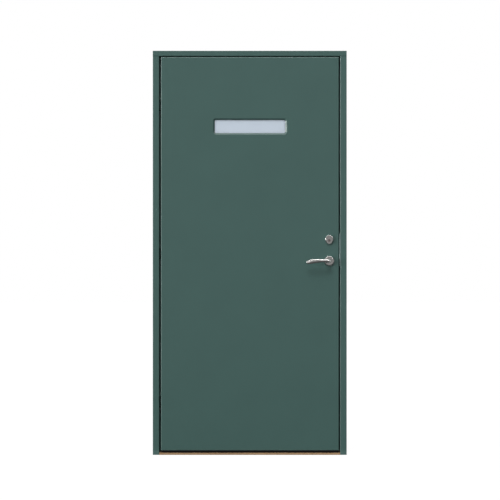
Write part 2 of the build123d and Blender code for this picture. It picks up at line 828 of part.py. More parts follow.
core_width = core_right - core_left
core_centre = (core_left + core_right) / 2
sweep_front = front + sweep_setback
sweep_stem_y = sweep_front + sweep_top_width - sweep_stem_inset + sweep_stem_width / 2
with BuildPart() as bottom_rail:
    add(bar(core_left, core_right, leaf_lift, core_bottom))
    with Locations((core_centre, sweep_stem_y, leaf_lift)):
        Box(core_width, sweep_stem_width + fit, 2 * (sweep_stem_height + room), mode=Mode.SUBTRACT)
write(bottom_rail.part, "bottom_rail")

# Sweep under the leaf: a blade that tapers down to the sill and a stem in the bottom rail
with BuildPart() as bottom_sweep:
    with BuildSketch(side_section.offset(leaf_x)):
        with BuildLine():
            Polyline(
                (sweep_front, leaf_lift),
                (sweep_stem_y + sweep_stem_width / 2, leaf_lift),
                (sweep_front + sweep_tip_width, leaf_lift - sweep_drop),
                (sweep_front, leaf_lift - sweep_drop),
                close=True,
            )
        make_face()
    extrude(amount=leaf_width / 2 - sweep_end_gap, both=True)
    with Locations((core_centre, sweep_stem_y, leaf_lift + sweep_stem_height / 2)):
        Box(core_width - 2 * sweep_end_gap, sweep_stem_width, sweep_stem_height)
write(bottom_sweep.part, "bottom_sweep")

# Battens round the window and the insulating core round them
batten_outer_width = room_width + 2 * batten_width
batten_outer_height = room_height + 2 * batten_width
with BuildPart() as window_battens:
    with Locations((leaf_x, 0, window_level)):
        Box(batten_outer_width, core_thickness, batten_outer_height)
        Box(room_width, core_thickness, room_height, mode=Mode.SUBTRACT)
    with Locations(*glazing_seats):
        Hole(wood_screw_radius + fit, glazing_screw_length + room)
write(window_battens.part, "window_battens")

with BuildPart() as insulation_core:
    add(bar(core_left, core_right, core_bottom, core_top))
    with Locations((leaf_x, 0, window_level)):
        Box(batten_outer_width, core_thickness, batten_outer_height, mode=Mode.SUBTRACT)
write(insulation_core.part, "insulation_core")


def window_ring(y_front, thickness, outer, inner, corner):
    # Flat ring round the window's centre, given by its outer and inner width and height
    ring_face = Plane(origin=(0, y_front, 0), x_dir=(1, 0, 0), z_dir=(0, -1, 0))
    with BuildPart() as ring:
        with BuildSketch(ring_face):
            with Locations((leaf_x, window_level)):
                RectangleRounded(*outer, corner)
                RectangleRounded(*inner, glass_radius, mode=Mode.SUBTRACT)
        extrude(amount=-thickness)
    return ring.part


pane_size = (pane_width, pane_height)
gasket_hole = (glass_width + 2 * gasket_inset, glass_height + 2 * gasket_inset)
spacer_hole = (pane_width - 2 * spacer_width, pane_height - 2 * spacer_width)
with BuildPart() as outer_glazing_gasket:
    add(window_ring(panel_back, gasket_thickness, pane_size, gasket_hole, glass_radius))
write(outer_glazing_gasket.part, "outer_glazing_gasket")

with BuildPart() as inner_glazing_gasket:
    add(window_ring(pane_back, gasket_thickness, pane_size, gasket_hole, glass_radius))
write(inner_glazing_gasket.part, "inner_glazing_gasket")

with BuildPart() as glass_spacer:
    add(window_ring(pane_front + glass_thickness, glass_space, pane_size, spacer_hole, glass_radius))
write(glass_spacer.part, "glass_spacer")

for y, name in ((pane_front, "outer_glass_pane"), (pane_back - glass_thickness, "inner_glass_pane")):
    with BuildPart() as pane:
        with Locations((leaf_x, y + glass_thickness / 2, window_level)):
            Box(pane_width, glass_thickness, pane_height)
    write(pane.part, name)

# Inner glazing frame: flange on the inner panel and a liner reaching to the glass
flange_size = (glass_width + 2 * flange_margin, glass_height + 2 * flange_margin)
liner_size = (glass_width + 2 * liner_margin, glass_height + 2 * liner_margin)
with BuildPart() as inner_glazing_frame:
    add(window_ring(back, flange_thickness, flange_size, (glass_width, glass_height), flange_radius))
    fillet(inner_glazing_frame.faces().sort_by(Axis.Y)[-1].outer_wire().edges(), radius=flange_edge_radius)
    add(window_ring(liner_front, back - liner_front, liner_size, (glass_width, glass_height), glass_radius))
    with Locations(*glazing_seats):
        CounterSinkHole(wood_screw_radius + fit, wood_screw_head + fit, 2 * overrun, quarter_turn)
write(inner_glazing_frame.part, "inner_glazing_frame")

with BuildPart() as glazing_screws:
    glazing_screw = screw(glazing_screw_length, wood_screw_radius, wood_screw_head)
    with Locations(*glazing_seats):
        add(glazing_screw)
write(glazing_screws.part, "glazing_screws")

# Lock case, open towards the forend
with BuildPart() as lock_case:
    with Locations(((case_back + case_front) / 2, 0, case_middle)):
        Box(case_depth, case_thickness, case_height)
    with Locations(((case_back + case_front + case_wall) / 2, 0, case_middle)):
        Box(
            case_depth - case_wall,
            case_thickness - 2 * case_wall,
            case_height - 2 * case_wall,
            mode=Mode.SUBTRACT,
        )
    with BuildSketch(leaf_middle):
        with Locations((lever_x, lever_level)):
            Circle(hub_radius + running)
        with Locations((lever_x, cylinder_level)):
            Circle(plug_radius + room)
        with Locations(*rose_bolt_places):
            Circle(bolt_hole_radius)
        with Locations(*cylinder_screw_places):
            Circle(cylinder_screw_radius + fit)
    extrude(amount=case_thickness, both=True, mode=Mode.SUBTRACT)
write(lock_case.part, "lock_case")

with BuildPart() as lock_forend:
    with BuildSketch(lock_leaf_edge):
        with Locations((0, case_middle)):
            SlotOverall(forend_height, forend_width, rotation=quarter_turn)
        with Locations((0, latch_level)):
            Rectangle(latch_thickness + 2 * bolt_play, latch_height + 2 * bolt_play, mode=Mode.SUBTRACT)
        with Locations((0, bolt_level)):
            Rectangle(bolt_thickness + 2 * bolt_play, bolt_height + 2 * bolt_play, mode=Mode.SUBTRACT)
    extrude(amount=-forend_thickness)
    with Locations(*forend_seats):
        CounterSinkHole(wood_screw_radius + fit, wood_screw_head + fit, overrun, quarter_turn)
write(lock_forend.part, "lock_forend")

# Screws of the hinge arms and the forend
arm_screw = screw(wood_screw_length, wood_screw_radius, wood_screw_head)
forend_screw = screw(forend_screw_length, wood_screw_radius, wood_screw_head)
with BuildPart() as leaf_plate_screws:
    with Locations(*all_arm_seats):
        add(arm_screw)
    with Locations(*forend_seats):
        add(forend_screw)
write(leaf_plate_screws.part, "leaf_plate_screws")

# Latch bolt: slanted head, and a tail with a hook behind the hub's finger
latch_tip = leaf_right + latch_throw
latch_back = latch_tip - latch_length
latch_half = latch_thickness / 2
latch_slope = latch_throw * tan(radians(latch_back_angle))
hook_right = lever_x - hub_finger_width / 2 - latch_hook_gap
hook_left = hook_right - latch_hook_width
with BuildPart() as latch_bolt:
    with BuildSketch(Plane.XY.offset(latch_level - latch_height / 2)):
        with BuildLine():
            Polyline(
                (latch_back, -latch_half),
                (latch_tip - latch_throw, -latch_half),
                (latch_tip, latch_half - latch_throw + latch_slope),
                (latch_tip, latch_half),
                (latch_back, latch_half),
                close=True,
            )
        make_face()
    extrude(amount=latch_height)
    with BuildSketch(Plane.XY.offset(lever_level + latch_tail_rise)):
        with Locations(((hook_left + latch_back) / 2, 0)):
            Rectangle(latch_back - hook_left, latch_thickness)
        with Locations(((hook_right + latch_back) / 2, 0)):
            Rectangle(latch_back - hook_right, latch_tail_gap, mode=Mode.SUBTRACT)
    extrude(amount=latch_tail_height)
write(latch_bolt.part, "latch_bolt")

# Dead bolt, drawn back, with a notched tail under the cam
bolt_back = leaf_right - bolt_length
notch_x = lever_x - bolt_throw / 2
with BuildPart() as dead_bolt:
    with Locations((leaf_right - bolt_length / 2, 0, bolt_level)):
        Box(bolt_length, bolt_thickness, bolt_height)
    fillet(dead_bolt.faces().sort_by(Axis.X)[-1].edges(), radius=bolt_edge_radius)
    with Locations((bolt_back - bolt_tail_length / 2, 0, bolt_tail_top - bolt_tail_height / 2)):
        Box(bolt_tail_length, bolt_tail_thickness, bolt_tail_height)
    with Locations((notch_x, 0, bolt_tail_top)):
        Box(bolt_notch_width, bolt_thickness, 2 * bolt_notch_depth, mode=Mode.SUBTRACT)
write(dead_bolt.part, "dead_bolt")


def turning_finger(reach, width, thickness, level, angle):
    # Flat finger reaching out from the axis of a hub, at an angle seen from the outside
    with BuildPart() as finger:
        with BuildSketch(leaf_middle):
            with Locations(Location((lever_x, level, 0), (0, 0, angle))):
                Rectangle(reach, width, align=(Align.MIN, Align.CENTER))
        extrude(amount=thickness / 2, both=True)
    return finger.part


# Lever hub with a square for the spindle and a finger that draws the latch
with BuildPart() as lever_hub:
    with BuildSketch(leaf_middle):
        with Locations((lever_x, lever_level)):
            Circle(hub_radius)
    extrude(amount=case_thickness / 2, both=True)
    hub_finger = (hub_finger_reach, hub_finger_width, hub_finger_thickness)
    add(turning_finger(*hub_finger, lever_level, quarter_turn))
    with BuildSketch(leaf_middle):
        with Locations((lever_x, lever_level)):
            Rectangle(spindle_width + fit, spindle_width + fit)
    extrude(amount=case_thickness, both=True, mode=Mode.SUBTRACT)
write(lever_hub.part, "lever_hub")

# Cam that throws the dead bolt
with BuildPart() as bolt_cam:
    with BuildSketch(leaf_middle):
        with Locations((lever_x, cylinder_level)):
            Circle(cam_radius)
    extrude(amount=cam_thickness / 2, both=True)
    cam_finger = (cam_finger_reach, cam_finger_width, bolt_tail_thickness)
    add(turning_finger(*cam_finger, cylinder_level, cam_start_angle))
    with BuildSketch(leaf_middle):
        with Locations((lever_x, cylinder_level)):
            Rectangle(cam_square + fit, cam_square + fit)
    extrude(amount=case_thickness, both=True, mode=Mode.SUBTRACT)
write(bolt_cam.part, "bolt_cam")

# Square spindle through the hub into both levers
with BuildPart() as lever_spindle:
    with Locations((lever_x, 0, lever_level)):
        Box(spindle_width, 2 * spindle_reach, spindle_width)
write(lever_spindle.part, "lever_spindle")


def rose(bore):
    # Domed disc on the outer face, bored for the lever's neck
    with BuildPart() as disc:
        with BuildSketch(outer_face):
            with Locations((lever_x, lever_level)):
                Circle(rose_radius)
        extrude(amount=rose_thickness)
        fillet(disc.faces().sort_by(Axis.Y)[0].edges(), radius=rose_edge_radius)
        with BuildSketch(outer_face):
            with Locations((lever_x, lever_level)):
                Circle(bore)
        extrude(amount=rose_thickness, mode=Mode.SUBTRACT)
    return disc.part


# Roses on both faces, the outside one bored for the bolts
with BuildPart() as outside_rose:
    add(rose(neck_radius + running))
    with BuildSketch(outer_face):
        with Locations(*rose_bolt_places):
            Circle(rose_bolt_radius + running)
    extrude(amount=rose_bolt_depth + fit, mode=Mode.SUBTRACT)
write(outside_rose.part, "outside_rose")

inside_rose_tip = inner_face.offset(-rose_thickness)
with BuildPart() as inside_rose:
    add(mirror(rose(neck_radius + running), about=Plane.XZ, mode=Mode.PRIVATE))
    with BuildSketch(inner_face):
        with Locations(*rose_bolt_places):
            Circle(rose_bolt_radius + running)
    extrude(amount=-rose_thickness, mode=Mode.SUBTRACT)
    with BuildSketch(inside_rose_tip):
        with Locations(*rose_bolt_places):
            Circle(rose_bolt_head_radius + fit)
    extrude(amount=rose_bolt_head_height, mode=Mode.SUBTRACT)
write(inside_rose.part, "inside_rose")

rose_bolt_shank = leaf_thickness + rose_thickness - rose_bolt_head_height
with BuildPart() as rose_bolts:
    with BuildSketch(inside_rose_tip):
        with Locations(*rose_bolt_places):
            Circle(rose_bolt_head_radius)
    extrude(amount=rose_bolt_head_height)
    with BuildSketch(outer_face):
        with Locations(*rose_bolt_places):
            Circle(rose_bolt_radius)
    extrude(amount=rose_bolt_depth)
    with BuildSketch(outer_face):
        with Locations(*rose_bolt_places):
            Circle(rose_bolt_radius)
    extrude(amount=-rose_bolt_shank)
write(rose_bolts.part, "rose_bolts")


def lever():
    # Neck along the axis, a quarter bend, then a slim blade that widens and drops to its tip
    grip_y = front - grip_offset
    neck_end = grip_y + elbow_radius
    up = (0, 0, 1)
    with BuildPart() as handle:
        with BuildSketch(Plane(origin=(lever_x, front, lever_level), x_dir=up, z_dir=(0, -1, 0))):
            Circle(neck_radius)
        extrude(amount=front - neck_end)
        with BuildSketch(Plane(origin=(lever_x, neck_end, lever_level), x_dir=up, z_dir=(0, -1, 0))):
            Circle(neck_radius)
        bend_axis = Axis((lever_x - elbow_radius, neck_end, lever_level), (0, 0, -1))
        revolve(axis=bend_axis, revolution_arc=quarter_turn)
        for along, top, bottom, half_depth, shift in zip(
            grip_place_shares,
            grip_top_shares,
            grip_bottom_shares,
            grip_half_depth_shares,
            grip_return_shares,
        ):
            cut = Plane(
                origin=(
                    lever_x - elbow_radius - along * (grip_length - elbow_radius),
                    grip_y - shift * neck_radius,
                    lever_level + (top + bottom) / 2 * neck_radius,
                ),
                x_dir=up,
                z_dir=(-1, 0, 0),
            )
            with BuildSketch(cut):
                Ellipse((top - bottom) / 2 * neck_radius, half_depth * neck_radius)
        loft()
        tip = handle.faces().sort_by(Axis.X)[0]
        fillet(tip.edges(), radius=grip_tip_radius)
        with BuildSketch(outer_face):
            with Locations((lever_x, lever_level)):
                Rectangle(spindle_width + fit, spindle_width + fit)
        extrude(amount=spindle_reach + front + room, mode=Mode.SUBTRACT)
    return handle.part


outside_handle = lever()
with BuildPart() as outside_lever:
    add(outside_handle)
write(outside_lever.part, "outside_lever")

with BuildPart() as inside_lever:
    add(mirror(outside_handle, about=Plane.XZ, mode=Mode.PRIVATE))
write(inside_lever.part, "inside_lever")


def drop_ring(bore):
    # Egg-shaped trim ring, wide at the top and narrow below
    with BuildPart() as trim:
        with BuildSketch(outer_face):
            with BuildLine():
                CenterArc((lever_x, cylinder_level + ring_lift), ring_top_radius, 0, 2 * half_turn)
                CenterArc((lever_x, ring_tip_level), ring_tip_radius, 0, 2 * half_turn)
            make_hull()
        extrude(amount=ring_thickness)
        fillet(trim.faces().sort_by(Axis.Y)[0].edges(), radius=ring_edge_radius)
        with BuildSketch(outer_face):
            with Locations((lever_x, cylinder_level)):
                add(bore)
        extrude(amount=ring_thickness, mode=Mode.SUBTRACT)
    return trim.part


with BuildSketch() as cylinder_bore:
    SlotOverall(cylinder_height + fit, cylinder_width + fit, rotation=quarter_turn)
with BuildSketch() as shaft_bore:
    Circle(turn_shaft_radius + running)

with BuildPart() as outside_cylinder_ring:
    add(drop_ring(cylinder_bore.sketch))
write(outside_cylinder_ring.part, "outside_cylinder_ring")

inside_ring_tip = back + ring_thickness
inside_ring_face = inner_face.offset(-ring_thickness)
with BuildPart() as inside_cylinder_ring:
    add(mirror(drop_ring(shaft_bore.sketch), about=Plane.XZ, mode=Mode.PRIVATE))
    with BuildSketch(inside_ring_face):
        with Locations(*cylinder_screw_places):
            Circle(cylinder_screw_radius + fit)
    extrude(amount=ring_thickness, mode=Mode.SUBTRACT)
write(inside_cylinder_ring.part, "inside_cylinder_ring")

# Outside cylinder body with its key plug
cylinder_tip = front - cylinder_proud
cylinder_back = -case_thickness / 2 - fit
plug_face = outer_face.offset(cylinder_proud)
with BuildPart() as outside_cylinder:
    with BuildSketch(plug_face):
        with Locations((lever_x, cylinder_level)):
            SlotOverall(cylinder_height, cylinder_width, rotation=quarter_turn)
            Circle(plug_radius + running, mode=Mode.SUBTRACT)
    extrude(amount=cylinder_tip - cylinder_back)
    with BuildSketch(leaf_middle.offset(-cylinder_back)):
        with Locations(*cylinder_screw_places):
            Circle(cylinder_screw_radius + fit)
    extrude(amount=cylinder_screw_bite + room, mode=Mode.SUBTRACT)
write(outside_cylinder.part, "outside_cylinder")

with BuildPart() as key_plug:
    with BuildSketch(plug_face):
        with Locations((lever_x, cylinder_level)):
            Circle(plug_radius)
    extrude(amount=cylinder_tip - cylinder_back)
    with BuildSketch(plug_face):
        with Locations(Location((lever_x, cylinder_level, 0), (0, 0, -keyway_lean))):
            Rectangle(keyway_width, keyway_height)
    extrude(amount=-keyway_depth, mode=Mode.SUBTRACT)
    with Locations((lever_x, cylinder_back + plug_tail / 2, cylinder_level)):
        Box(cam_square, plug_tail, cam_square)
write(key_plug.part, "key_plug")

with BuildPart() as cylinder_screws:
    with BuildSketch(inside_ring_face):
        with Locations(*cylinder_screw_places):
            Circle(cylinder_screw_radius)
    extrude(amount=inside_ring_tip - cylinder_back + cylinder_screw_bite)
write(cylinder_screws.part, "cylinder_screws")

# Thumb turn: base, wing, shaft and a square tail into the cam
turn_tail = plug_tail + cylinder_back + fit
with BuildPart() as thumb_turn:
    with Locations(Location((lever_x, inside_ring_tip, cylinder_level), toward_inside)):
        Cylinder(turn_radius, turn_base_height, align=(Align.CENTER, Align.CENTER, Align.MIN))
    with Locations((lever_x, inside_ring_tip + turn_wing_height / 2, cylinder_level)):
        Box(turn_wing_width, turn_wing_height, turn_wing_length)
    wing_end = thumb_turn.faces().sort_by(Axis.Y)[-1]
    fillet(wing_end.edges(), radius=turn_wing_radius)
    with Locations(Location((lever_x, inside_ring_tip, cylinder_level), toward_inside)):
        Cylinder(
            turn_shaft_radius,
            inside_ring_tip - case_thickness / 2,
            align=(Align.CENTER, Align.CENTER, Align.MAX),
        )
    with Locations((lever_x, (turn_tail + case_thickness / 2) / 2, cylinder_level)):
        Box(cam_square, case_thickness / 2 - turn_tail, cam_square)
write(thumb_turn.part, "thumb_turn")
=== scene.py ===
"""Looks of a painted entrance door in its frame: satin paint, oiled oak sill, satin glass and
chrome fittings, in soft studio light on a plain pale floor, seen straight from the front."""

import json
import math

import bmesh
import bpy
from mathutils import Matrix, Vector


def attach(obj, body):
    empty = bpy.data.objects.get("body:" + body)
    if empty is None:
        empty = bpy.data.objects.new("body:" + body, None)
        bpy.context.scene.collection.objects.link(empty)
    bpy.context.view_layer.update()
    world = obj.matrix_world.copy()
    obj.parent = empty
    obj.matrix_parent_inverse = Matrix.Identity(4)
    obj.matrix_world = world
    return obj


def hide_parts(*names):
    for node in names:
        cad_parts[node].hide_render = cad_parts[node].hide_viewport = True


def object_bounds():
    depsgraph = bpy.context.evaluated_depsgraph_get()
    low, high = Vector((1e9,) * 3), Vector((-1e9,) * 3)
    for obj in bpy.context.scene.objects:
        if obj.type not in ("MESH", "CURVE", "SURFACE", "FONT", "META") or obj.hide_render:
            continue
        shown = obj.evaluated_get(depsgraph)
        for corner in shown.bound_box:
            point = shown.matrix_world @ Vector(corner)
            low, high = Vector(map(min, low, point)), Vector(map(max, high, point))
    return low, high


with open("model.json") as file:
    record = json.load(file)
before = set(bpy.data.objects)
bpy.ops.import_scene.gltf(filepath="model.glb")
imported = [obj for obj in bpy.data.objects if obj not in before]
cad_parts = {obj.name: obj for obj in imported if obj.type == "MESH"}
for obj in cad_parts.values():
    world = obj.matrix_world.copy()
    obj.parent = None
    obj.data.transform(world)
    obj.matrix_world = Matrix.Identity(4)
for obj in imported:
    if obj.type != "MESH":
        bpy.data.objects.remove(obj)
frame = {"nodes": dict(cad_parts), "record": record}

cad_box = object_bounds()
nodes = frame["nodes"]
scene = bpy.context.scene

# Lengths are in metres, angles in degrees and colours linear
micron = 0.000001

# Camera: level, square to the leaf's outer face
view_distance = 14.0
view_width = 2.5732
view_centre = Vector((0.0014, -0.031, 1.0545))
level_tilt = 90.0
sensor_width = 36.0

# Light: a soft key from above, a broad side light from the left and a sky that is brighter above
key_elevation = 50.0
key_azimuth = 10.0
key_strength = 1.35
key_size = 24.0
side_azimuth = 62.0
side_elevation = 0.0
side_strength = 3.2
side_size = 28.0
sky_above = 0.48
sky_below = 0.06
straight_down = -1.0

# Backdrop and floor: white to look at, and softer in the light they give
backdrop_glow = 1.0
floor_size = 80.0
floor_glow = 0.95
floor_tone = 0.10
floor_bounce = 0.27

# Flags and a strip light that only reflections see
front_flag_tone = 0.38
floor_flag_tone = 0.11
right_flag_tone = 0.12
top_flag_tone = 0.30
strip_tone = 13.0
flag_distance = 7.0
flag_left = -2.5
flag_right = 6.0
floor_flag_height = 0.02
floor_flag_gap = 0.04
top_flag_height = 4.0
top_flag_end = 1.0
strip_far = 1.55
strip_near = 1.15

# Colours
white = Vector((1.0, 1.0, 1.0))
opaque = 1.0
paint_colour = Vector((0.0570, 0.1210, 0.1090))
oak_light = Vector((0.410, 0.253, 0.122))
oak_dark = Vector((0.280, 0.161, 0.073))
pine_light = Vector((0.540, 0.350, 0.170))
pine_dark = Vector((0.410, 0.240, 0.100))
wool_colour = Vector((0.330, 0.290, 0.160))
# Rubber: black, and darker than real rubber as painted shade for the gaps round the leaf
rubber_and_gap_shade_colour = Vector((0.0025, 0.0020, 0.0020))
glass_tint = Vector((0.752, 0.803, 0.858))
aluminium_colour = Vector((0.560, 0.570, 0.580))
zinc_colour = Vector((0.470, 0.480, 0.490))
steel_colour = Vector((0.420, 0.415, 0.405))
# Hinge arms: blackened steel, near black with the gap's green tint, as painted shade in the hinge gap
hinge_black_and_gap_shade_colour = Vector((0.014, 0.017, 0.017))
# Strike plate: steel, coloured darker and green as it looks in the gap: painted shade and a painted
# reflection of the paint
strike_and_gap_shade_colour = Vector((0.192, 0.262, 0.257))
chrome_colour = Vector((0.560, 0.550, 0.540))
nickel_colour = Vector((0.330, 0.285, 0.285))
white_plastic = Vector((0.560, 0.560, 0.540))
black_plastic = Vector((0.012, 0.012, 0.013))

# Noise: most of its values lie between these two
noise_low = 0.3
noise_high = 0.7

# Metal: grains to the metre across the brushing, and how far brushing draws them out
metal_grains = 2600.0
plain_brush = (1.0, 1.0, 1.0)
spacer_brush = (0.05, 1.0, 0.05)

# Screw heads: a six-lobed drive recess, as shares of the head's radius
drive_radius_share = 0.42
drive_lobe_share = 0.13
drive_depth_share = 0.30
drive_tip_share = 0.75
drive_lobes = 6
drive_points = 48
weld_distance = 1 * micron
crease_angle = 30.0


class Finish:
    """One procedural material: a Principled shader, and short calls that feed its sockets."""

    def __init__(self, name, colour, roughness, metallic=0.0):
        self.material = bpy.data.materials.new(name)
        self.material.use_nodes = True
        self.tree = self.material.node_tree
        self.shader = self.tree.nodes["Principled BSDF"]
        self.place = self.node("ShaderNodeTexCoord").outputs["Object"]
        self.colour = colour
        self.roughness = roughness
        self.height = None
        self.set("Base Color", (*colour, opaque))
        self.set("Roughness", roughness)
        self.set("Metallic", metallic)

    def node(self, kind):
        return self.tree.nodes.new(kind)

    def join(self, source, target):
        self.tree.links.new(source, target)

    def set(self, socket, value):
        self.shader.inputs[socket].default_value = value

    def noise(self, grains, detail=3.0, distortion=0.0):
        """Noise with so many grains to the metre, alike or one count each along X, Y and Z."""
        if isinstance(grains, float):
            grains = (grains, grains, grains)
        mapping = self.node("ShaderNodeMapping")
        mapping.inputs["Scale"].default_value = grains
        self.join(self.place, mapping.inputs["Vector"])
        noise = self.node("ShaderNodeTexNoise")
        noise.inputs["Scale"].default_value = 1.0
        noise.inputs["Detail"].default_value = detail
        noise.inputs["Distortion"].default_value = distortion
        self.join(mapping.outputs["Vector"], noise.inputs["Vector"])
        return noise.outputs["Fac"]

    def ramp(self, source, start, end, low, high):
        """A colour that goes from low to high as a source value goes from start to end."""
        ramp = self.node("ShaderNodeValToRGB")
        first, last = ramp.color_ramp.elements
        first.position = start
        first.color = (*low, opaque)
        last.position = end
        last.color = (*high, opaque)
        self.join(source, ramp.inputs["Fac"])
        return ramp.outputs["Color"]

    def tint(self, source, low, high):
        """Colours the surface from low to high by a noise."""
        colour = self.ramp(source, noise_low, noise_high, low, high)
        self.join(colour, self.shader.inputs["Base Color"])

    def shade(self, source, darker, lighter):
        """Varies the finish's own colour by a noise, between two multiples of it."""
        self.tint(source, self.colour * darker, self.colour * lighter)

    def streak(self, source, start, end, tone):
        """Darkens the colour so far, down to a tone of it as a source goes from start to end."""
        veil = self.ramp(source, start, end, white, white * tone)
        mix = self.node("ShaderNodeMix")
        mix.data_type = "RGBA"
        mix.blend_type = "MULTIPLY"
        mix.inputs["Factor"].default_value = 1.0
        under = self.shader.inputs["Base Color"].links[0].from_socket
        self.join(under, mix.inputs["A"])
        self.join(veil, mix.inputs["B"])
        self.join(mix.outputs["Result"], self.shader.inputs["Base Color"])

    def gloss(self, source, smoother, rougher):
        """Varies the roughness by a noise, from so much below the finish's own to so much above."""
        spread = self.node("ShaderNodeMapRange")
        spread.inputs["From Min"].default_value = noise_low
        spread.inputs["From Max"].default_value = noise_high
        spread.inputs["To Min"].default_value = self.roughness - smoother
        spread.inputs["To Max"].default_value = self.roughness + rougher
        self.join(source, spread.inputs["Value"])
        self.join(spread.outputs["Result"], self.shader.inputs["Roughness"])

    def bump(self, source, depth):
        """Raises the surface by up to a depth, over any bump before it."""
        bump = self.node("ShaderNodeBump")
        bump.inputs["Strength"].default_value = 1.0
        bump.inputs["Distance"].default_value = depth
        self.join(source, bump.inputs["Height"])
        if self.height:
            self.join(self.height, bump.inputs["Normal"])
        self.height = bump.outputs["Normal"]
        self.join(self.height, self.shader.inputs["Normal"])


def satin_paint():
    """Sprayed satin paint: a fine texture over a slight wave."""
    finish = Finish("satin_paint", paint_colour, roughness=0.32)
    finish.shade(finish.noise(grains=5.0), darker=0.975, lighter=1.025)
    finish.gloss(finish.noise(grains=40.0), smoother=0.03, rougher=0.03)
    finish.bump(finish.noise(grains=420.0, detail=1.0), depth=30 * micron)
    finish.bump(finish.noise(grains=14.0, detail=1.0), depth=150 * micron)
    return finish.material


def wood(name, light, dark, roughness):
    """Straight-grained wood with its grain along X, and dark pores sunk along the grain."""
    finish = Finish(name, light, roughness)
    figure = finish.noise(grains=(2.2, 46.0, 70.0), detail=6.0, distortion=0.6)
    finish.tint(figure, low=dark, high=light)
    pores = finish.noise(grains=(26.0, 900.0, 900.0), detail=2.0)
    finish.streak(pores, start=0.58, end=0.68, tone=0.55)
    finish.gloss(finish.noise(grains=(6.0, 120.0, 120.0)), smoother=0.05, rougher=0.08)
    finish.bump(pores, depth=-120 * micron)
    return finish.material


def mineral_wool():
    """Matt, loose fibres in layers stacked along Y."""
    finish = Finish("mineral_wool", wool_colour, roughness=0.95)
    layers = finish.noise(grains=(60.0, 900.0, 260.0), detail=6.0)
    finish.shade(layers, darker=0.6, lighter=1.2)
    fibres = finish.noise(grains=(80.0, 900.0, 300.0), detail=5.0)
    finish.bump(fibres, depth=1200 * micron)
    return finish.material


def rubber(name):
    """Dull black rubber, darker than real rubber as painted shade for the gaps it sits in."""
    finish = Finish(name, rubber_and_gap_shade_colour, roughness=0.6)
    finish.shade(finish.noise(grains=90.0), darker=0.8, lighter=1.5)
    finish.set("Specular IOR Level", 0.08)
    finish.gloss(finish.noise(grains=60.0), smoother=0.08, rougher=0.08)
    finish.bump(finish.noise(grains=1800.0, detail=1.0), depth=30 * micron)
    return finish.material


def satin_glass():
    """Etched glass that lets light through and blurs what is behind it."""
    finish = Finish("satin_glass", glass_tint, roughness=0.3)
    finish.set("Transmission Weight", 1.0)
    finish.set("IOR", 1.5)
    finish.gloss(finish.noise(grains=120.0), smoother=0.02, rougher=0.02)
    finish.bump(finish.noise(grains=2400.0, detail=1.0), depth=2 * micron)
    return finish.material


def metal(name, colour, roughness, brush=plain_brush):
    """Metal with a fine brushed or plated grain, drawn out along an axis with a small brush value."""
    finish = Finish(name, colour, roughness, metallic=1.0)
    grain = finish.noise(grains=[metal_grains * share for share in brush], detail=2.0)
    finish.shade(finish.noise(grains=34.0), darker=0.93, lighter=1.05)
    finish.gloss(grain, smoother=0.04, rougher=0.05)
    finish.bump(grain, depth=4 * micron)
    return finish.material


def zinc_plating():
    """Dull zinc with a faint mottle."""
    finish = Finish("zinc_plating", zinc_colour, roughness=0.38, metallic=1.0)
    finish.shade(finish.noise(grains=260.0, detail=4.0), darker=0.82, lighter=1.12)
    finish.gloss(finish.noise(grains=320.0), smoother=0.07, rougher=0.08)
    finish.bump(finish.noise(grains=1500.0), depth=10 * micron)
    return finish.material


def plastic(name, colour, roughness):
    """Moulded plastic with a fine texture."""
    finish = Finish(name, colour, roughness)
    finish.shade(finish.noise(grains=25.0), darker=0.93, lighter=1.05)
    finish.gloss(finish.noise(grains=200.0), smoother=0.05, rougher=0.05)
    finish.bump(finish.noise(grains=1600.0, detail=1.0), depth=20 * micron)
    return finish.material


# A finish for each material slot of the part, and three that some nodes have instead
finishes = {
    "painted_wood": satin_paint(),
    "oak": wood("oiled_oak", oak_light, oak_dark, roughness=0.46),
    "timber": wood("pine", pine_light, pine_dark, roughness=0.62),
    "insulation": mineral_wool(),
    "seal_rubber": rubber("seal_rubber"),
    "sweep_rubber": rubber("sweep_rubber"),
    "glass": satin_glass(),
    "spacer_metal": metal("spacer_aluminium", aluminium_colour, roughness=0.34, brush=spacer_brush),
    "zinc": zinc_plating(),
    "steel": metal("turned_steel", steel_colour, roughness=0.30),
    # Strike steel with painted shade and a painted green reflection of the paint
    "strike": metal("strike_steel_gap_shaded", strike_and_gap_shade_colour, roughness=0.42),
    "washer_plastic": plastic("washer_plastic", white_plastic, roughness=0.42),
    "box_plastic": plastic("box_plastic", black_plastic, roughness=0.48),
    "satin_chrome": metal("satin_chrome", chrome_colour, roughness=0.18),
    "nickel": metal("satin_nickel", nickel_colour, roughness=0.26),
    # Hinge arms: dark and green-tinted as painted shade in the hinge gap
    "blackened": metal("blackened_steel_gap_shade", hinge_black_and_gap_shade_colour, roughness=0.45),
}
own_finishes = {
    # The strike plate's steel carries painted shade and a painted green reflection of the paint
    "strike_plate": "strike",
    "key_plug": "nickel",
    # The hinge arms are near black with a green tint, as painted shade in the hinge gap
    "hinge_arm_lower": "blackened",
    "hinge_arm_middle": "blackened",
    "hinge_arm_upper": "blackened",
}
screw_nodes = (
    "glazing_screws",
    "frame_screws",
    "frame_plate_screws",
    "leaf_plate_screws",
    "rose_bolts",
)


def dress_nodes():
    """Every CAD node takes the finish of its material slot, or its own."""
    for row in frame["record"]["subparts"]:
        finish = own_finishes.get(row["node"], row["material_slot"])
        for material_slot in nodes[row["node"]].material_slots:
            material_slot.material = finishes[finish]


def screws_of(mesh):
    """The separate screws of a welded mesh, each as a list of its points."""
    done = set()
    for first in mesh.verts:
        if first in done:
            continue
        done.add(first)
        found = [first]
        for vert in found:
            for edge in vert.link_edges:
                near = edge.other_vert(vert)
                if near not in done:
                    done.add(near)
                    found.append(near)
        yield [vert.co for vert in found]


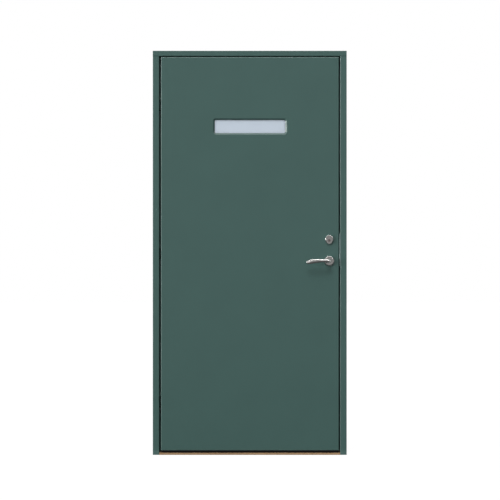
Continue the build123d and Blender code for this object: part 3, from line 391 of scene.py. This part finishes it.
def head_of(points):
    """The middle of a screw head's flat face, the way it faces and its radius."""
    low = Vector([min(values) for values in zip(*points)])
    high = Vector([max(values) for values in zip(*points)])
    size = high - low
    along = max(range(len(size)), key=lambda axis: size[axis])
    ends = []
    for end, way in ((low, -1.0), (high, 1.0)):
        face = (low + high) / 2
        face[along] = end[along]
        outward = Vector((0, 0, 0))
        outward[along] = way
        flat = [point for point in points if abs(point[along] - end[along]) < weld_distance]
        radius = max((point - face).length for point in flat)
        ends.append((face, outward, radius))
    return max(ends, key=lambda end: end[-1])


def add_drive(mesh, face, outward, radius):
    """Adds one six-lobed cutter with a pointed end that sinks into a screw head."""
    across = outward.orthogonal().normalized()
    up = outward.cross(across)
    depth = radius * drive_depth_share
    rings = []
    for level in (-depth, depth):
        ring = []
        for step in range(drive_points):
            turn = 2 * math.pi * step / drive_points
            lobe = drive_lobe_share / 2 * math.cos(drive_lobes * turn)
            reach = radius * (drive_radius_share + lobe)
            side = across * math.cos(turn) + up * math.sin(turn)
            ring.append(mesh.verts.new(face + outward * level + side * reach))
        rings.append(ring)
    bottom, top = rings
    tip = mesh.verts.new(face - outward * radius * drive_tip_share)
    mesh.faces.new(top)
    for step in range(drive_points):
        after = (step + 1) % drive_points
        mesh.faces.new((tip, bottom[after], bottom[step]))
        mesh.faces.new((bottom[step], bottom[after], top[after], top[step]))


def mesh_object(name, mesh):
    """An object of its own from a bmesh, which is freed."""
    data = bpy.data.meshes.new(name)
    mesh.to_mesh(data)
    mesh.free()
    made = bpy.data.objects.new(name, data)
    scene.collection.objects.link(made)
    return made


def cut_drives(node, body, slot):
    """Screws of a node's form, with a drive recess cut into every head."""
    mesh = bmesh.new()
    mesh.from_mesh(nodes[node].data)
    bmesh.ops.remove_doubles(mesh, verts=mesh.verts, dist=weld_distance)
    cutters = bmesh.new()
    for points in screws_of(mesh):
        add_drive(cutters, *head_of(points))
    screws = mesh_object(node + "_driven", mesh)
    cutter = mesh_object(node + "_cutter", cutters)
    cut = screws.modifiers.new("drives", "BOOLEAN")
    cut.solver = "EXACT"
    cut.object = cutter
    shown = screws.evaluated_get(bpy.context.evaluated_depsgraph_get())
    plain = screws.data
    screws.data = bpy.data.meshes.new_from_object(shown)
    screws.modifiers.clear()
    bpy.data.meshes.remove(plain)
    bpy.data.meshes.remove(cutter.data)
    screws.data.attributes.remove(screws.data.attributes["custom_normal"])
    screws.data.shade_smooth()
    screws.data.set_sharp_from_angle(angle=math.radians(crease_angle))
    screws.data.materials.clear()
    screws.data.materials.append(finishes[slot])
    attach(screws, body)
    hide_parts(node)


def make_screws():
    """Drive recesses in the heads of all the screws that show."""
    slots = {row["node"]: row["material_slot"] for row in frame["record"]["subparts"]}
    for body, members in frame["record"]["behaviour"]["bodies"].items():
        for node in members:
            if node in screw_nodes:
                cut_drives(node, body, slots[node])


def seen_rays(tree):
    """1 for rays that show the stage: straight from the camera, or by way of metal or glass."""
    light_path = tree.nodes.new("ShaderNodeLightPath")
    shown = light_path.outputs["Is Camera Ray"]
    for name in ("Is Glossy Ray", "Is Transmission Ray"):
        either = tree.nodes.new("ShaderNodeMath")
        either.operation = "MAXIMUM"
        tree.links.new(shown, either.inputs[0])
        tree.links.new(light_path.outputs[name], either.inputs[1])
        shown = either.outputs["Value"]
    return shown


def choose(tree, switch, unseen, seen):
    """A value for rays that don't show the stage, and one for those that do."""
    mix = tree.nodes.new("ShaderNodeMix")
    tree.links.new(switch, mix.inputs["Factor"])
    for socket, value in (("A", unseen), ("B", seen)):
        if isinstance(value, bpy.types.NodeSocket):
            tree.links.new(value, mix.inputs[socket])
        else:
            mix.inputs[socket].default_value = value
    return mix.outputs["Result"]


def make_world():
    """A white studio to look at, and a softer sky, brighter above, to light the object."""
    scene.world = bpy.data.worlds.new("studio")
    scene.world.use_nodes = True
    tree = scene.world.node_tree
    background = tree.nodes["Background"]
    background.inputs["Color"].default_value = (*white, opaque)
    direction = tree.nodes.new("ShaderNodeTexCoord").outputs["Generated"]
    split = tree.nodes.new("ShaderNodeSeparateXYZ")
    tree.links.new(direction, split.inputs["Vector"])
    sky = tree.nodes.new("ShaderNodeMapRange")
    sky.inputs["From Min"].default_value = straight_down
    sky.inputs["To Min"].default_value = sky_below
    sky.inputs["To Max"].default_value = sky_above
    tree.links.new(split.outputs["Z"], sky.inputs["Value"])
    strength = choose(tree, seen_rays(tree), sky.outputs["Result"], backdrop_glow)
    tree.links.new(strength, background.inputs["Strength"])


def make_floor():
    """A large pale floor that looks white and keeps a faint shadow of the object."""
    bpy.ops.mesh.primitive_plane_add(size=floor_size, location=(0, 0, cad_box[0].z))
    floor = bpy.context.object
    floor.name = "floor"
    material = bpy.data.materials.new("floor")
    material.use_nodes = True
    tree = material.node_tree
    tree.nodes.remove(tree.nodes["Principled BSDF"])
    seen = seen_rays(tree)
    diffuse = tree.nodes.new("ShaderNodeBsdfDiffuse")
    tree.links.new(choose(tree, seen, floor_bounce, floor_tone), diffuse.inputs["Color"])
    glow = tree.nodes.new("ShaderNodeEmission")
    tree.links.new(choose(tree, seen, 0.0, floor_glow), glow.inputs["Strength"])
    both = tree.nodes.new("ShaderNodeAddShader")
    tree.links.new(diffuse.outputs["BSDF"], both.inputs[0])
    tree.links.new(glow.outputs["Emission"], both.inputs[1])
    tree.links.new(both.outputs["Shader"], tree.nodes["Material Output"].inputs["Surface"])
    floor.data.materials.append(material)


def make_flag(name, tone, corners):
    """A glowing panel that only reflections see, so that paint and chrome keep their depth."""
    mesh = bpy.data.meshes.new(name)
    mesh.from_pydata(corners, [], [range(len(corners))])
    material = bpy.data.materials.new(name)
    material.use_nodes = True
    tree = material.node_tree
    tree.nodes.remove(tree.nodes["Principled BSDF"])
    glow = tree.nodes.new("ShaderNodeEmission")
    glow.inputs["Strength"].default_value = tone
    tree.links.new(glow.outputs["Emission"], tree.nodes["Material Output"].inputs["Surface"])
    mesh.materials.append(material)
    flag = bpy.data.objects.new(name, mesh)
    flag.visible_camera = False
    flag.visible_diffuse = False
    flag.visible_shadow = False
    flag.visible_transmission = False
    scene.collection.objects.link(flag)


def make_flags():
    """Grey flags in front, over the floor, on the right and overhead, with a strip light overhead."""
    low, high = floor_flag_height, top_flag_height
    near, far = -floor_flag_gap, -flag_distance
    left, right = flag_left, flag_right
    wall = [(left, far, low), (right, far, low), (right, far, high), (left, far, high)]
    make_flag("front_flag", front_flag_tone, wall)
    ground = [(left, far, low), (right, far, low), (right, near, low), (left, near, low)]
    make_flag("floor_flag", floor_flag_tone, ground)
    side = [(right, far, low), (right, near, low), (right, near, high), (right, far, high)]
    make_flag("right_flag", right_flag_tone, side)
    bands = (
        ("far_top_flag", top_flag_tone, far, -strip_far),
        ("strip_light", strip_tone, -strip_far, -strip_near),
        ("near_top_flag", top_flag_tone, -strip_near, -top_flag_end),
    )
    for name, tone, start, end in bands:
        band = [(left, start, high), (right, start, high), (right, end, high), (left, end, high)]
        make_flag(name, tone, band)


def make_sun(name, azimuth, elevation, strength, size):
    """A sun lamp that stands to the left by its azimuth and above by its elevation."""
    lamp = bpy.data.lights.new(name, "SUN")
    lamp.energy = strength
    lamp.angle = math.radians(size)
    sun = bpy.data.objects.new(name, lamp)
    turn = math.radians(azimuth)
    rise = math.radians(elevation)
    level = math.cos(rise)
    towards = Vector((-math.sin(turn) * level, -math.cos(turn) * level, math.sin(rise)))
    sun.rotation_euler = towards.to_track_quat("Z", "Y").to_euler()
    scene.collection.objects.link(sun)


def make_camera():
    """A camera in front of the door, so far away that its view is nearly parallel."""
    lens = bpy.data.cameras.new("camera")
    lens.sensor_width = sensor_width
    lens.lens = sensor_width * view_distance / view_width
    lens.clip_end = floor_size
    camera = bpy.data.objects.new("camera", lens)
    camera.location = view_centre - Vector((0, view_distance, 0))
    camera.rotation_euler = (math.radians(level_tilt), 0, 0)
    scene.collection.objects.link(camera)
    scene.camera = camera


dress_nodes()
make_screws()
make_world()
make_floor()
make_flags()
make_sun("key_light", key_azimuth, key_elevation, key_strength, key_size)
make_sun("side_light", side_azimuth, side_elevation, side_strength, side_size)
make_camera()
scene.view_settings.view_transform = "Standard"
